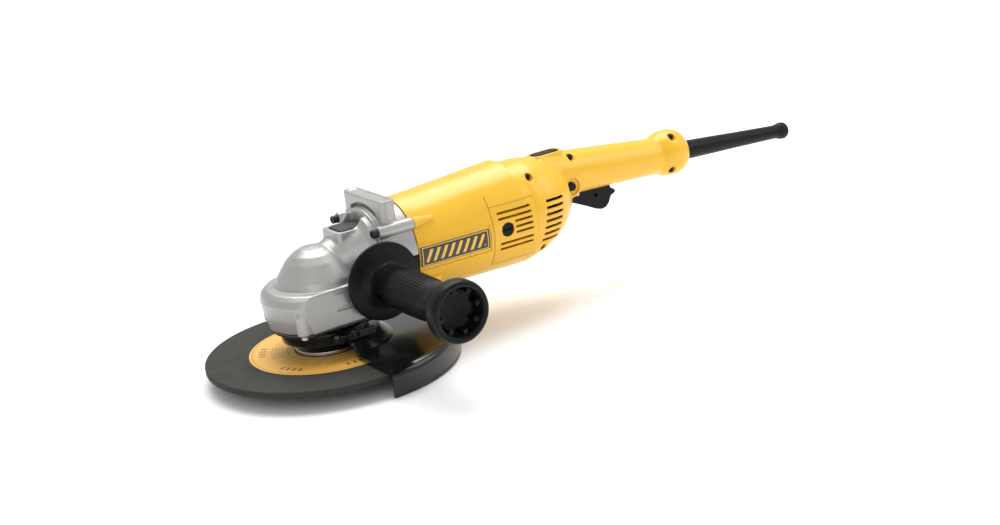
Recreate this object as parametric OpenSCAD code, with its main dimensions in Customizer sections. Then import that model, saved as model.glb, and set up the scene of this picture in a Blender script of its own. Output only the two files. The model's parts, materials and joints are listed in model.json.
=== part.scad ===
// Large two-handed angle grinder.
// Origin: centre of the spindle's free end face. +Z runs up the spindle towards the gear case,
// +X runs rearward along the motor to the cord end, -Y is the side the auxiliary handle is on.

/* [Wheel and guard] */
// Grinding disc diameter
disc_d = 230; // [190:1:276]
// Grinding disc thickness
disc_t = 6; // [3:0.5:7]
// Radial gap between disc and guard skirt
guard_gap = 6.5; // [4:0.5:10]
// Guard sheet thickness
guard_t = 2.2; // [1.6:0.2:3]
// Guard skirt depth below its top plate
skirt_drop = 25; // [20:1:32]

/* [Spindle] */
// Spindle thread diameter
thread_d = 14; // [12:1:16]
// Height of the motor axis above the spindle end
axis_z = 92; // [84:1:110]
// Bearing collar diameter under the gear case
collar_d = 76; // [70:1:90]

/* [Gear case] */
// Width of the gear case
case_w = 80; // [76:1:92]
// Reach of the nose in front of the spindle
nose_r = 55; // [52:1:62]
// Diameter of the arch that meets the motor flange
arch_d = 85; // [78:1:88]
// Rear face of the gear case and front face of the motor housing
housing_x = 86; // [82:1:96]

/* [Motor] */
// Motor housing diameter at the front
housing_d1 = 93; // [91:1:104]
// Motor housing diameter at the back
housing_d2 = 102; // [98:1:120]
// Length of the motor housing
housing_l = 131; // [128:1:156]
// Armature core diameter
core_d = 54; // [44:1:60]

/* [Rear handle] */
// Length of the handle from the motor housing to the cord end
handle_l = 217; // [212:1:270]
// Handle grip diameter at its front
grip_d1 = 48; // [46:1:54]
// Handle grip diameter at its back
grip_d2 = 37; // [35:1:44]
// Length of the cord boot outside the handle
boot_l = 144; // [100:1:160]

/* [Side handle] */
// Distance of the side handle axis behind the spindle
side_x = 44; // [42:1:48]
// Length of the side handle grip
side_l = 137; // [105:1:160]
// Diameter of the side handle knob
side_knob_d = 57; // [50:1:68]

/* [Hidden] */
$fn = 64;
eps = 0.01;
fit = 0.06; // radial clearance of a running fit
gap = 0.4; // clearance between parts that only pass each other
push = 0.35; // clearance round a push button

// Stack along the spindle
stub = 4;
nut_h = 7;
disc_r = disc_d / 2;
disc_z0 = stub + nut_h;
disc_z1 = disc_z0 + disc_t;
thread_r = thread_d / 2;
shank_r = thread_r - 0.6; // under the nut and flange
nut_lift = 0.5;
arbor_r = thread_r + 4.1;
label_t = 0.3;
label_r = disc_r * 0.64;
nut_r = 20;
nut_face_r = 14;
spanner_r = 17; // pitch radius of the nut's four spanner holes
flange_r = 30;
flange_h = 4;
flange_rise = 11; // height of the inner flange over the disc
flange_top = disc_z1 + flange_rise;
seat_r = thread_r + 1.5; // bearing seat of the spindle
gear_seat_r = thread_r + 1;
top_seat_r = 5.5;
collar_r = collar_d / 2;
band_z0 = flange_top + 2;
band_h = 11.5;
plate_z0 = band_z0 + band_h + 0.5;
plate_t = 4;
case_z0 = plate_z0 + plate_t;
bearing_r = 20;
bearing_h = 12;
bearing_z0 = flange_top + 4;
case_hw = case_w / 2;
shoulder_z = axis_z - 14;
arch_r = arch_d / 2;
arch_x = 50;
flange_x = 52;
flange_or = 45.5;
bolt_a = 37; // gear case bolts, degrees above and below the motor axis
bolt_r = 49;
ear_r = 6;
boss_x = 36.5; // corner bosses of the gear case, ahead of and behind the spindle
boss_r = 6.5;
dome_r = 42; // dome over the crown gear
block_x = 65; // top block over the flange
block_l = 16;
block_h = 56;
block_w = 76;
fin_n = 11; // fan blades
bar_n = 24; // commutator bars
slot_n = 12; // armature slots

// Gears: the cones meet on the spindle at the motor axis
teeth_p = 10;
teeth_c = 41;
cone_l = 33;
cone_a = atan(teeth_p / teeth_c);
cone_l2 = 22;
crown_hub_r = 14;
crown_z0 = axis_z - 28;
crown_rim_r = cone_l * cos(cone_a) + 0.4;
add_h = 1.2;
ded_h = 1.5;
tooth_w = 0.92; // half width of a tooth on the pitch line
tooth_slope = 0.34;
crown_cave_r = crown_rim_r + 2;
crown_cave_z1 = axis_z - 4;
bush_or = 9.5;
bush_z0 = axis_z + 6.5;
bush_h = 9;
shaft_cave_r = 12.8;

// Armature
pin_bearing_r = 16;
pin_bearing_x = arch_x + 0.5;
pin_bearing_l = 10;
shaft_r = 6;
fan_x0 = 66;
fan_r = 39.5;
fan_l = 16;
fan_cave_r = 42;
core_x0 = housing_x + 15;
core_l = 50;
core_r = core_d / 2;
air_gap = 0.6;
winding_l = 11;
comm_x0 = core_x0 + core_l + 20;
comm_l = 22;
comm_r = 16;
rear_bearing_x = comm_x0 + comm_l + 11;
rear_bearing_r = 11;
rear_bearing_l = 7;
rear_shaft_r = 4;

// Motor housing and handle
house_x1 = housing_x + housing_l;
h1 = housing_d1 / 2;
h2 = housing_d2 / 2;
wall = 3;
stator_r = h1 - 2.6;
guide_r = 33;
brush_x = comm_x0 + comm_l / 2;
handle_x1 = house_x1 + handle_l;
grip_x0 = house_x1 + 33;
grip_len = 150;
grip_slope = 5;
grip_z0 = axis_z + 26;
g1 = grip_d1 / 2;
g2 = grip_d2 / 2;
bulb_tilt = 12;
bulb_rx = 69;
end_r = 24;
end_x = handle_x1 - 20;
end_rx = 26;
end_z = axis_z + 13;
shell_t = 3;

// Switch group in the handle
sw_x0 = house_x1 + 53;
sw_l = 56;
sw_w = 20;
sw_z0 = axis_z + 17;
sw_h = 20;
trig_px = house_x1 + 74; // trigger pivot
trig_pz = axis_z + 1.5;
trig_w = 17;
trig_pin_r = 2;
top_btn_x = house_x1 + 48;
top_btn_l = 31;
top_btn_w = 13;
top_btn_z = grip_z0 + g1 - 0.5;
side_btn_x = house_x1 + 62;
side_btn_z = axis_z + 13.5;
side_btn_r = 4;
dish_r = 10;

// Cord boot
boot_a = 4.2;
boot_z = axis_z + 10.3;
boot_r0 = 10;
boot_rn = 7.25;
boot_rt = 9;
cable_r = 4.6;

// Side handle
side_z = axis_z - 13.5;
stud_r = 7;
stud_in = 15;
hub_r = 10.2;
pad_y = case_hw + 1;
rim_y = pad_y + 5.2;
rim_r = 37;
side_y1 = pad_y + side_l + 7;

// Spindle lock
lock_x = 38.5;
lock_l = 27;
lock_w = 26;
lock_top = axis_z + 33;
lock_h = 11.5;
lock_stroke = 4.5;
lock_floor = lock_top - lock_h - 5;
lock_pin_r = 2.5;
lock_pin_z = axis_z + 11 + lock_stroke + 0.5; // stops above the notched collar
notch_r = 11;
notch_w = 6.6;

// Guard clamp
lug_y = collar_r + 9;
screw_z = band_z0 + 7;
lever_h = 7;
lever_x = 6;
lever_pin_r = 2;

steel = [0.62, 0.63, 0.65];
cast = [0.74, 0.74, 0.72];
yellow = [0.97, 0.78, 0.16];
black = [0.06, 0.06, 0.065];
copper = [0.72, 0.42, 0.22];

// ---------- helpers ----------
// Places children with their Z axis along +X at a point of the XZ plane.
module along_x(x, z = axis_z, y = 0) translate([x, y, z]) rotate([0, 90, 0]) children();
// Places children with their Z axis along -Y.
module along_y(x, y, z) translate([x, y, z]) rotate([90, 0, 0]) children();
module tube(r1, r2, h) difference() {
  cylinder(r = r1, h = h);
  translate([0, 0, -1]) cylinder(r = r2, h = h + 2);
}
module rounded(l, w, r) {
  square([l - 2 * r, w], center = true);
  square([l, w - 2 * r], center = true);
  for (i = [-1, 1]) for (j = [-1, 1]) translate([i * (l / 2 - r), j * (w / 2 - r)]) circle(r = r);
}
// A coil spring standing on the XY plane.
module coil(r, wire, turns, h) {
  n = 12;
  m = 6;
  k = floor(turns * n);
  pts = [for (i = [0:k]) for (j = [0:m - 1])
    let (a = i * 360 / n, b = j * 360 / m, q = r + wire * cos(b))
    [q * cos(a), q * sin(a), wire + (h - 2 * wire) * i / k + wire * sin(b)]];
  side = [for (i = [0:k - 1]) for (j = [0:m - 1])
    [i * m + j, i * m + (j + 1) % m, (i + 1) * m + (j + 1) % m, (i + 1) * m + j]];
  ends = [[for (j = [0:m - 1]) m - 1 - j], [for (j = [0:m - 1]) k * m + j]];
  polyhedron(pts, concat(side, ends));
}
// One straight bevel tooth, its pitch line along +X from the cone apex at the origin.
module tooth(l1, l2) {
  s = l2 / l1;
  wb = tooth_w + tooth_slope * ded_h;
  wt = tooth_w - tooth_slope * add_h;
  b = -ded_h - 0.5;
  q = [[l1, -wb, b], [l1, wb, b], [l1, wt, add_h], [l1, -wt, add_h],
    [l2, -wb * s, b * s], [l2, wb * s, b * s], [l2, wt * s, add_h * s], [l2, -wt * s, add_h * s]];
  polyhedron(q, [[3, 2, 1, 0], [4, 5, 6, 7], [0, 1, 5, 4], [1, 2, 6, 5], [2, 3, 7, 6], [3, 0, 4, 7]]);
}

// ---------- spindle group ----------
module spindle() color(steel) {
  cylinder(r = thread_r, h = stub);
  translate([0, 0, stub]) cylinder(r = shank_r, h = flange_top - stub);
  translate([0, 0, flange_top]) cylinder(r = seat_r, h = crown_z0 - flange_top);
  translate([0, 0, crown_z0]) cylinder(r = gear_seat_r, h = 16);
  translate([0, 0, crown_z0 + 16]) cylinder(r = top_seat_r, h = bush_z0 + bush_h - 1 - crown_z0 - 16);
}
module lock_nut() color(steel) translate([0, 0, stub + nut_lift]) difference() {
  union() {
    cylinder(r = nut_face_r, h = nut_h - nut_lift);
    translate([0, 0, 3]) cylinder(r = nut_r, h = nut_h - nut_lift - 3);
  }
  translate([0, 0, -1]) cylinder(r = shank_r, h = nut_h + 2);
  for (a = [0:90:270]) rotate(a) translate([spanner_r, 0, -1]) cylinder(r = 2, h = nut_h - 1.5);
}
module grinding_disc() color([0.17, 0.17, 0.15]) translate([0, 0, disc_z0]) tube(disc_r, arbor_r, disc_t);
module disc_label() color([0.93, 0.66, 0.2]) translate([0, 0, disc_z1]) tube(label_r, flange_r + 1, label_t);
module inner_flange() color(steel) difference() {
  union() {
    translate([0, 0, disc_z0]) cylinder(r = arbor_r - fit, h = disc_t);
    translate([0, 0, disc_z1]) cylinder(r = flange_r, h = flange_h);
    translate([0, 0, disc_z1 + flange_h]) cylinder(r1 = 24, r2 = 15, h = flange_top - disc_z1 - flange_h);
  }
  translate([0, 0, disc_z0 - 1]) cylinder(r = shank_r, h = 40);
}
module crown_gear() color([0.5, 0.5, 0.5]) difference() {
  union() {
    translate([0, 0, crown_z0]) cylinder(r = crown_hub_r, h = 16);
    difference() {
      rotate_extrude() polygon([[0, crown_z0 + 6], [crown_rim_r - 8, crown_z0 + 6],
        [crown_rim_r, crown_z0 + 12], [crown_rim_r, crown_root(crown_rim_r)],
        [12, crown_root(12)], [0, crown_root(12)]]);
      translate([0, 0, crown_z0 + 16]) cylinder(r = 20.5, h = 20);
    }
    for (i = [0:teeth_c - 1]) rotate(i * 360 / teeth_c) translate([0, 0, axis_z])
      rotate([0, cone_a, 0]) tooth(cone_l, cone_l2);
  }
  translate([0, 0, crown_z0 - 1]) cylinder(r = gear_seat_r, h = 40);
}
// Height of the crown gear's root cone at radius r.
function crown_root(r) = axis_z - r * tan(cone_a) - ded_h * r / crown_rim_r / cos(cone_a);
module gear_retaining_ring() color(steel) translate([0, 0, crown_z0 + 16])
  tube(gear_seat_r + 3, top_seat_r, 1.5);

// ---------- armature ----------
module armature_shaft() color(steel) difference() {
  union() {
    along_x(14) cylinder(r = 4.5, h = 22);
    along_x(35) cylinder(r = shaft_r - fit, h = rear_bearing_x - 37);
    along_x(35) cylinder(r = notch_r, h = lock_x + 4 - 35);
    along_x(rear_bearing_x - 2) cylinder(r = rear_shaft_r - fit, h = rear_bearing_l + 4);
  }
  for (a = [0:90:270]) translate([lock_x, 0, axis_z]) rotate([a, 0, 0])
    translate([-6, -notch_w / 2, notch_r - 5.5]) cube([12, notch_w, 8]);
}
module pinion() color([0.5, 0.5, 0.5]) {
  root_a = cone_a - atan(ded_h / cone_l);
  x1 = cone_l * cos(cone_a) - 0.6;
  x2 = cone_l2 * cos(cone_a) + 0.4;
  difference() {
    union() {
      along_x(x2) cylinder(r1 = x2 * tan(root_a), r2 = x1 * tan(root_a), h = x1 - x2);
      along_x(x1) cylinder(r = x1 * tan(root_a), h = 35 - x1);
      for (i = [0:teeth_p - 1]) translate([0, 0, axis_z]) rotate([(i + 0.5) * 360 / teeth_p, 0, 0])
        rotate([0, -cone_a, 0]) tooth(cone_l, cone_l2);
    }
    along_x(0) cylinder(r = 4.5, h = 60);
  }
}
module pinion_nut() color(steel) along_x(15.5) difference() {
  cylinder(r = 6.6, h = 4.5, $fn = 6);
  translate([0, 0, -1]) cylinder(r = 4.5, h = 7);
}
module armature_core() color([0.35, 0.35, 0.37]) difference() {
  along_x(core_x0) tube(core_r, shaft_r - fit, core_l);
  for (i = [0:slot_n - 1]) translate([0, 0, axis_z]) rotate([i * 360 / slot_n, 0, 0])
    translate([core_x0 - 1, -1, core_r - 4]) cube([core_l + 2, 2, 8]);
}
module armature_windings() color(copper) {
  along_x(core_x0 - winding_l) tube(core_r - 4.5, shaft_r - fit, winding_l);
  along_x(core_x0 + core_l) tube(core_r - 4.5, shaft_r - fit, winding_l);
}
module commutator() color(copper) difference() {
  union() {
    along_x(comm_x0) tube(comm_r, shaft_r - fit, comm_l);
    along_x(comm_x0 - 4) tube(comm_r + 2, shaft_r - fit, 4);
  }
  for (i = [0:bar_n - 1]) translate([0, 0, axis_z]) rotate([i * 360 / bar_n, 0, 0])
    translate([comm_x0 + 1, -0.35, comm_r - 1]) cube([comm_l + 2, 0.7, 3]);
}
module fan() color([0.12, 0.12, 0.13]) {
  along_x(fan_x0) tube(fan_r, shaft_r - fit, 2);
  along_x(fan_x0) tube(14, shaft_r - fit, fan_l);
  for (i = [0:fin_n - 1]) translate([0, 0, axis_z]) rotate([i * 360 / fin_n, 0, 0])
    translate([fan_x0 + 1, -0.9, 13]) cube([fan_l - 3, 1.8, fan_r - 15]);
}

// ---------- gear case ----------
module strip(hw, z0, z1) translate([-nose_r - 5, -hw, z0]) cube([nose_r + 5 + flange_x, 2 * hw, z1 - z0]);
module case_outer() {
  // lower bowl round the crown gear
  intersection() {
    union() {
      rotate_extrude() polygon([[0, case_z0], [nose_r - 5, case_z0], [nose_r - 2, case_z0 + 13],
        [nose_r, shoulder_z - 6], [nose_r - 2, shoulder_z], [nose_r - 7, shoulder_z + 4],
        [0, shoulder_z + 5]]);
      translate([0, -case_hw - 3, case_z0]) cube([flange_x, 2 * case_hw + 6, shoulder_z - case_z0]);
    }
    strip(case_hw + 1, case_z0, shoulder_z + 8);
  }
  // dome over the gears
  rotate_extrude() polygon([[0, shoulder_z], [dome_r, shoulder_z], [dome_r - 3, axis_z - 9],
    [dome_r - 4.6, axis_z - 4], [32, axis_z + 4], [27, axis_z + 11], [20, axis_z + 17.5],
    [12, axis_z + 22], [0, axis_z + 23.5]]);
  // saddle that climbs to the arch
  along_x(0) rotate_extrude() polygon([[0, 0], [19, 0], [25, 16], [31, 30], [37, 42],
    [arch_r - 1.5, arch_x - 4], [arch_r, arch_x - 3], [arch_r, flange_x + 1], [0, flange_x + 1]]);
  // surround of the lock button
  translate([lock_x, 0, axis_z]) linear_extrude(lock_top - 1 - axis_z) rounded(lock_l + 12, lock_w + 8, 6);
}
module bolt_places() for (s = [-1, 1]) for (t = [-1, 1])
  translate([0, s * bolt_r * cos(bolt_a), axis_z + t * bolt_r * sin(bolt_a)]) rotate([0, 90, 0]) children();
module corner_places() for (s = [-1, 1]) for (x = [-boss_x, boss_x])
  translate([x, s * (case_hw - 5.5), 0]) children();
module gear_case() color(cast) difference() {
  union() {
    difference() {
      case_outer();
      translate([-100, -100, -1]) cube([200, 200, case_z0 + 1]);
    }
    corner_places() {
      translate([0, 0, case_z0]) cylinder(r = boss_r, h = 17);
      translate([0, 0, case_z0 + 17]) sphere(r = boss_r);
    }
    along_x(flange_x) cylinder(r = flange_or, h = 10);
    difference() {
      along_x(flange_x + 10) cylinder(r = flange_or, h = housing_x - flange_x - 10);
      translate([0, -60, -10]) cube([200, 120, axis_z + 10]);
    }
    bolt_places() translate([0, 0, arch_x - 1]) cylinder(r = ear_r, h = flange_x + 11 - arch_x);
    // the upper pair of bolts runs back inside the hood's shoulders
    intersection() {
      bolt_places() translate([0, 0, flange_x]) cylinder(r = ear_r, h = housing_x - flange_x);
      translate([0, -80, axis_z]) cube([200, 160, 80]);
    }
    // top block over the flange
    translate([block_x, 0, axis_z]) linear_extrude(block_h) rounded(block_l, block_w, 6);
  }
  cylinder(r = crown_cave_r, h = crown_cave_z1);
  translate([0, 0, crown_cave_z1 - 1]) cylinder(r = 15, h = 9);
  translate([0, 0, axis_z]) cylinder(r = bush_or, h = bush_z0 + bush_h - axis_z);
  along_x(6) cylinder(r = shaft_cave_r, h = arch_x);
  along_x(pin_bearing_x) cylinder(r = pin_bearing_r, h = 20);
  along_x(flange_x + 10) cylinder(r = fan_cave_r, h = 60);
  bolt_places() cylinder(r = 2, h = housing_x + 1);
  bolt_places() translate([0, 0, arch_x - 10]) cylinder(r = 4.2, h = 9);
  corner_places() translate([0, 0, case_z0 - 1]) cylinder(r = 2, h = 15);
  for (s = [-1, 1]) along_y(side_x, s < 0 ? -pad_y + stud_in : pad_y + 2, side_z)
    cylinder(r = stud_r, h = stud_in + 2);
  for (s = [-1, 1]) along_y(side_x, s < 0 ? -pad_y : pad_y + 20, side_z) cylinder(r = hub_r + 1, h = 20);
  translate([lock_x, 0, lock_floor]) linear_extrude(60) rounded(lock_l + 2 * push, lock_w + 2 * push, 4);
  translate([lock_x, 0, axis_z]) cylinder(r = lock_pin_r + push, h = 40);
  // exhaust slot and the shallow dish in the top block
  intersection() {
    along_x(flange_x + 4) tube(flange_or + 3.4, flange_or + 0.6, 6);
    translate([0, -24, axis_z + 30]) cube([80, 48, 40]);
  }
  translate([block_x, 0, axis_z + block_h - 1.2]) linear_extrude(5) rounded(block_l - 5, block_w - 8, 5);
}
module bearing_cover() color(black) difference() {
  union() {
    translate([0, 0, plate_z0]) linear_extrude(plate_t) intersection() {
      circle(r = nose_r - 5.5);
      translate([-nose_r, -case_hw + 1]) square([nose_r + 50, 2 * case_hw - 2]);
    }
    translate([0, 0, band_z0]) cylinder(r = collar_r, h = plate_z0 - band_z0 + eps);
  }
  translate([0, 0, bearing_z0]) cylinder(r = bearing_r, h = bearing_h);
  translate([0, 0, bearing_z0 + bearing_h - eps]) cylinder(r = 24, h = 40);
  cylinder(r = seat_r + gap, h = 80);
  corner_places() {
    translate([0, 0, plate_z0 - 1]) cylinder(r = 2, h = 10);
    translate([0, 0, plate_z0 - 1]) cylinder(r = 3.7, h = 3.6);
  }
}
module cover_screws() color(steel) corner_places() difference() {
  union() {
    translate([0, 0, plate_z0 + 0.1]) cylinder(r = 3.4, h = 2.5);
    translate([0, 0, plate_z0 + 2]) cylinder(r = 2, h = 13);
  }
  translate([0, 0, plate_z0 - 1]) cylinder(r = 1.6, h = 2.6, $fn = 6);
}
module gear_case_screws() color(black) bolt_places() difference() {
  union() {
    translate([0, 0, arch_x - 7]) cylinder(r = 3.9, h = 6);
    translate([0, 0, arch_x - 2]) cylinder(r = 2, h = housing_x + 12 - arch_x);
  }
  translate([0, 0, arch_x - 8]) cylinder(r = 2, h = 4, $fn = 6);
}
module spindle_ball_bearing() color(steel) translate([0, 0, bearing_z0])
  ball_bearing(bearing_r, seat_r + fit, bearing_h);
module pinion_bearing() color(steel) along_x(pin_bearing_x) ball_bearing(pin_bearing_r, shaft_r, pin_bearing_l);
module rear_motor_bearing() color(steel) along_x(rear_bearing_x)
  ball_bearing(rear_bearing_r, rear_shaft_r, rear_bearing_l);
// Deep-groove bearing drawn with its two shields closed between the races.
module ball_bearing(ro, ri, w) {
  t = (ro - ri) * 0.28;
  difference() {
    tube(ro, ri, w);
    for (z = [-1, w - 0.6]) translate([0, 0, z]) tube(ro - t, ri + t, 1.6);
  }
}
module spindle_top_bush() color([0.7, 0.55, 0.3]) translate([0, 0, bush_z0])
  tube(bush_or, top_seat_r + fit, bush_h);
module air_baffle() color(black) difference() {
  union() {
    along_x(flange_x + 10) cylinder(r = fan_cave_r - 0.3, h = 2);
    difference() {
      union() {
        along_x(flange_x + 10) cylinder(r = flange_or - 0.5, h = housing_x - flange_x - 10);
        bolt_places() translate([0, 0, flange_x + 11]) cylinder(r = ear_r, h = housing_x - flange_x - 11);
      }
      translate([0, -60, axis_z - gap]) cube([200, 120, 80]);
      along_x(flange_x) cylinder(r = fan_cave_r - 0.7, h = 100);
    }
  }
  along_x(flange_x) cylinder(r = 15, h = 40);
  bolt_places() cylinder(r = 2 + gap, h = 100);
}

// ---------- motor housing ----------
module house_cone(off) along_x(housing_x) rotate_extrude() polygon([[0, 0], [h1 - off, 0],
  [h1 + 1 - off, 8], [h2 - 1 - off, housing_l * 0.53], [h2 - off, housing_l * 0.85],
  [h2 - off, housing_l], [0, housing_l]]);
module house_crown(off) translate([housing_x, 0, axis_z]) rotate([0, -1.9, 0]) rotate([0, 90, 0])
  translate([0, 0, 4]) cylinder(r1 = h1 - off, r2 = h2 - off, h = housing_l - 14);
module badge_area(l, w) translate([housing_x + 38 - l / 2, -80, axis_z - 3.5 - w / 2]) cube([l, 60, w]);
module side_slots() for (s = [-1, 1]) {
  y0 = s < 0 ? -80 : 30;
  for (z = [17, 11.5, -13, -18.5]) translate([brush_x - 9, y0, axis_z + z - 1.2]) cube([38, 50, 2.4]);
  for (z = [6, 0.5, -5]) translate([brush_x + 9, y0, axis_z + z - 1.2]) cube([20, 50, 2.4]);
}
module motor_housing() color(yellow) difference() {
  union() {
    difference() {
      union() {
        house_cone(0);
        house_crown(0);
        bolt_places() translate([0, 0, housing_x]) cylinder(r1 = 6, r2 = 2.6, h = 22);
      }
      along_x(housing_x - 1) cylinder(r = stator_r, h = core_x0 + core_l + 4 - housing_x);
      along_x(core_x0 + core_l + 2) cylinder(r = stator_r + 1.2, h = 100);
      along_x(core_x0 + core_l + 24) cylinder(r = h2 - wall, h = 100);
      side_slots();
      difference() {
        badge_area(78, 27);
        house_cone(0.9);
      }
    }
    // rear bearing seat carried on four arms
    along_x(rear_bearing_x) cylinder(r = rear_bearing_r + 3, h = rear_bearing_l + 2);
    for (a = [45, 135]) translate([rear_bearing_x, 0, axis_z]) rotate([a, 0, 0])
      translate([0, -3.5, -h2 + 2]) cube([rear_bearing_l, 7, 2 * h2 - 4]);
    // air guide round the commutator, which carries the brush tunnels
    along_x(comm_x0 - 3) tube(guide_r, guide_r - 2, rear_bearing_x + 3 - comm_x0 + 3);
    // brush tunnels
    for (s = [-1, 1]) translate([brush_x, s * (h2 - 6), axis_z]) rotate([90, 0, 0])
      cylinder(r = 9.5, h = 9, center = true);
    for (s = [-1, 1]) translate([brush_x, s * (h2 + guide_r - 6) / 2, axis_z]) rotate([90, 0, 0])
      cylinder(r = 9.5, h = h2 - 6 - guide_r + 3, center = true);
  }
  brush_places() translate([-6.2, -h2, -4.6]) cube([12.4, h2 - guide_r + 12, 9.2]);
  along_x(rear_bearing_x - 1) cylinder(r = rear_bearing_r, h = rear_bearing_l + 1);
  along_x(rear_bearing_x - 2) cylinder(r = rear_shaft_r + 1, h = 40);
  for (s = [-1, 1]) translate([brush_x, s * h2, axis_z]) rotate([90, 0, 0])
    cylinder(r = 7, h = 40, center = true);
  bolt_places() cylinder(r = 2, h = housing_x + 16);
  translate([0, -100, -100]) cube([housing_x, 200, 300]);
}
module badge_plate() color([0.12, 0.12, 0.12]) intersection() {
  badge_area(74, 19);
  difference() {
    house_cone(0.1);
    house_cone(0.9);
  }
}
module stator_core() color([0.4, 0.4, 0.42]) along_x(core_x0) difference() {
  tube(stator_r, core_r + air_gap, core_l);
  for (s = [0, 180]) rotate([0, 0, s + 90]) translate([0, 0, -1]) intersection() {
    tube(stator_r - 5, core_r + 3, core_l + 2);
    translate([0, -14, 0]) cube([60, 28, core_l + 4]);
  }
}
module stator_windings() color(copper) along_x(core_x0) for (z = [-winding_l, core_l]) translate([0, 0, z])
  difference() {
    tube(stator_r - 3, core_r + 3, winding_l);
    for (s = [0, 180]) rotate(s) translate([0, -3, -1]) cube([60, 6, winding_l + 2]);
  }
module brush_places() for (s = [0, 180]) translate([brush_x, 0, axis_z]) rotate([s, 0, 0]) children();
module brush_holders() color([0.7, 0.58, 0.32]) brush_places() difference() {
  translate([-6.2, -h2 + 10.6, -4.6]) cube([12.4, h2 - 10.6 - comm_r - 2.5, 9.2]);
  translate([-5, -h2 + 8, -3.4]) cube([10, h2, 6.8]);
}
module carbon_brushes() color([0.15, 0.15, 0.16]) brush_places()
  translate([-5, -comm_r - 17, -3.4]) cube([10, 16.6, 6.8]);
module brush_springs() color(steel) brush_places() translate([0, -comm_r - 17, 0]) rotate([90, 0, 0])
  coil(2.6, 0.35, 5, h2 - 8 - comm_r - 17);
module brush_caps() color(black) brush_places() translate([0, -h2 + 8, 0]) rotate([90, 0, 0]) difference() {
  cylinder(r = 7, h = 6.2);
  translate([-4.5, -0.8, 4.6]) cube([9, 1.6, 4]);
}

// ---------- rear handle ----------
module handle_solid(off) {
  r = h2 * cos(bulb_tilt) - off;
  intersection() {
    translate([house_x1, 0, axis_z]) rotate([0, 90 - bulb_tilt, 0]) rotate_extrude()
      polygon(concat([[0, -14], [r, -14]], [for (i = [0:10]) [r * cos(i * 9), (bulb_rx - off) * sin(i * 9)]]));
    translate([house_x1, -100, -100]) cube([300, 200, 400]);
  }
  translate([grip_x0, 0, grip_z0]) rotate([0, 90 + grip_slope, 0])
    cylinder(r1 = g1 - off, r2 = g2 - off, h = handle_l - 55);
  translate([end_x, 0, end_z]) rotate([0, 90, 0]) ellipse_end(end_rx - off, end_r - off, 20 - off);
}
// Rounded knob with a flat rear face, its middle at the origin.
module ellipse_end(rx, r, back) rotate_extrude() polygon(concat(
  [for (i = [0:8]) [r * cos(90 - i * 90 / 8), -rx * cos(i * 90 / 8)]],
  [[r, back * 0.3], [r - 2, back * 0.65], [r - 6, back * 0.9], [r - 11, back], [0, back]]));
// handle screws: place along X, height above the motor axis, half width of the handle there
handle_screw_at = [[house_x1 + 7, 38, 32], [house_x1 + 12, -33, 34], [house_x1 + 70, 40.5, 15],
  [handle_x1 - 20, 31.5, 15.3], [handle_x1 - 26, -1, 19]];
head_in = 6;
head_h = 2.6;
module screw_places() for (p = handle_screw_at) translate([p[0], 0, axis_z + p[1]]) children();
module top_button_shape(grow) linear_extrude(60)
  rounded(top_btn_l + 2 * grow, top_btn_w + 2 * grow, top_btn_w / 2 - 0.2 + grow);
module trigger_mouth() translate([trig_px - 15, -trig_w / 2 - gap, axis_z - 60])
  cube([71, trig_w + 2 * gap, 72]);
module handle_body() difference() {
  union() {
    difference() {
      handle_solid(0);
      difference() {
        union() {
          handle_solid(shell_t);
          along_x(house_x1 - 1) cylinder(r = h2 - shell_t, h = 4);
        }
        screw_places() rotate([90, 0, 0]) cylinder(r = 5, h = 120, center = true);
        translate([handle_x1 - 7, -40, 0]) cube([20, 80, 300]);
      }
    }
    translate([top_btn_x, 0, top_btn_z - 16]) linear_extrude(15.5) rounded(top_btn_l + 7, top_btn_w + 7, 9);
    translate([side_btn_x, -9.5, side_btn_z]) rotate([90, 0, 0]) cylinder(r = dish_r + 1, h = 13.7);
    // cheeks that hold the trigger pin
    intersection() {
      handle_solid(0);
      translate([trig_px, 0, trig_pz]) rotate([90, 0, 0]) cylinder(r = 6, h = 60, center = true);
    }
  }
  screw_places() translate([0, 8, 0]) rotate([90, 0, 0]) cylinder(r = 1.6, h = 60);
  for (p = handle_screw_at) translate([p[0], head_in - p[2], axis_z + p[1]]) rotate([90, 0, 0])
    cylinder(r = 3.6, h = 60);
  translate([top_btn_x, 0, top_btn_z - 40]) top_button_shape(push);
  translate([side_btn_x, -10, side_btn_z]) rotate([90, 0, 0]) cylinder(r = side_btn_r + push, h = 60);
  translate([side_btn_x, -20.7, side_btn_z]) rotate([90, 0, 0]) cylinder(r = dish_r - 1.5, h = 60);
  trigger_mouth();
  translate([trig_px, 0, trig_pz]) rotate([90, 0, 0]) cylinder(r = trig_pin_r, h = 28, center = true);
  translate([sw_x0 - 1, -sw_w / 2 - gap, sw_z0 - 4]) cube([sw_l + 2, sw_w + 2 * gap, sw_h + 5]);
  // slanted air slots round the bulb
  for (s = [-1, 1]) for (i = [0:6]) translate([house_x1 + 26 - i * 1.2, s * 42, axis_z + 14 - i * 6.4])
    rotate([0, 4, 0]) cube([24, 36, 2.5], center = true);
  // socket of the cord boot
  boot_place() {
    translate([0, 0, -6]) cylinder(r = boot_r0, h = 30);
    translate([0, 0, -9]) cylinder(r = boot_r0 + 3, h = 5);
    translate([0, 0, -30]) cylinder(r = cable_r + 1, h = 30);
  }
}
module boot_place() translate([handle_x1, 0, boot_z]) rotate([0, 90 + boot_a, 0]) children();
module handle_shell_left() color(yellow) intersection() {
  handle_body();
  translate([0, -200, -100]) cube([800, 200, 500]);
}
module handle_shell_right() color(yellow) intersection() {
  handle_body();
  translate([0, 0, -100]) cube([800, 200, 500]);
}
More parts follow.
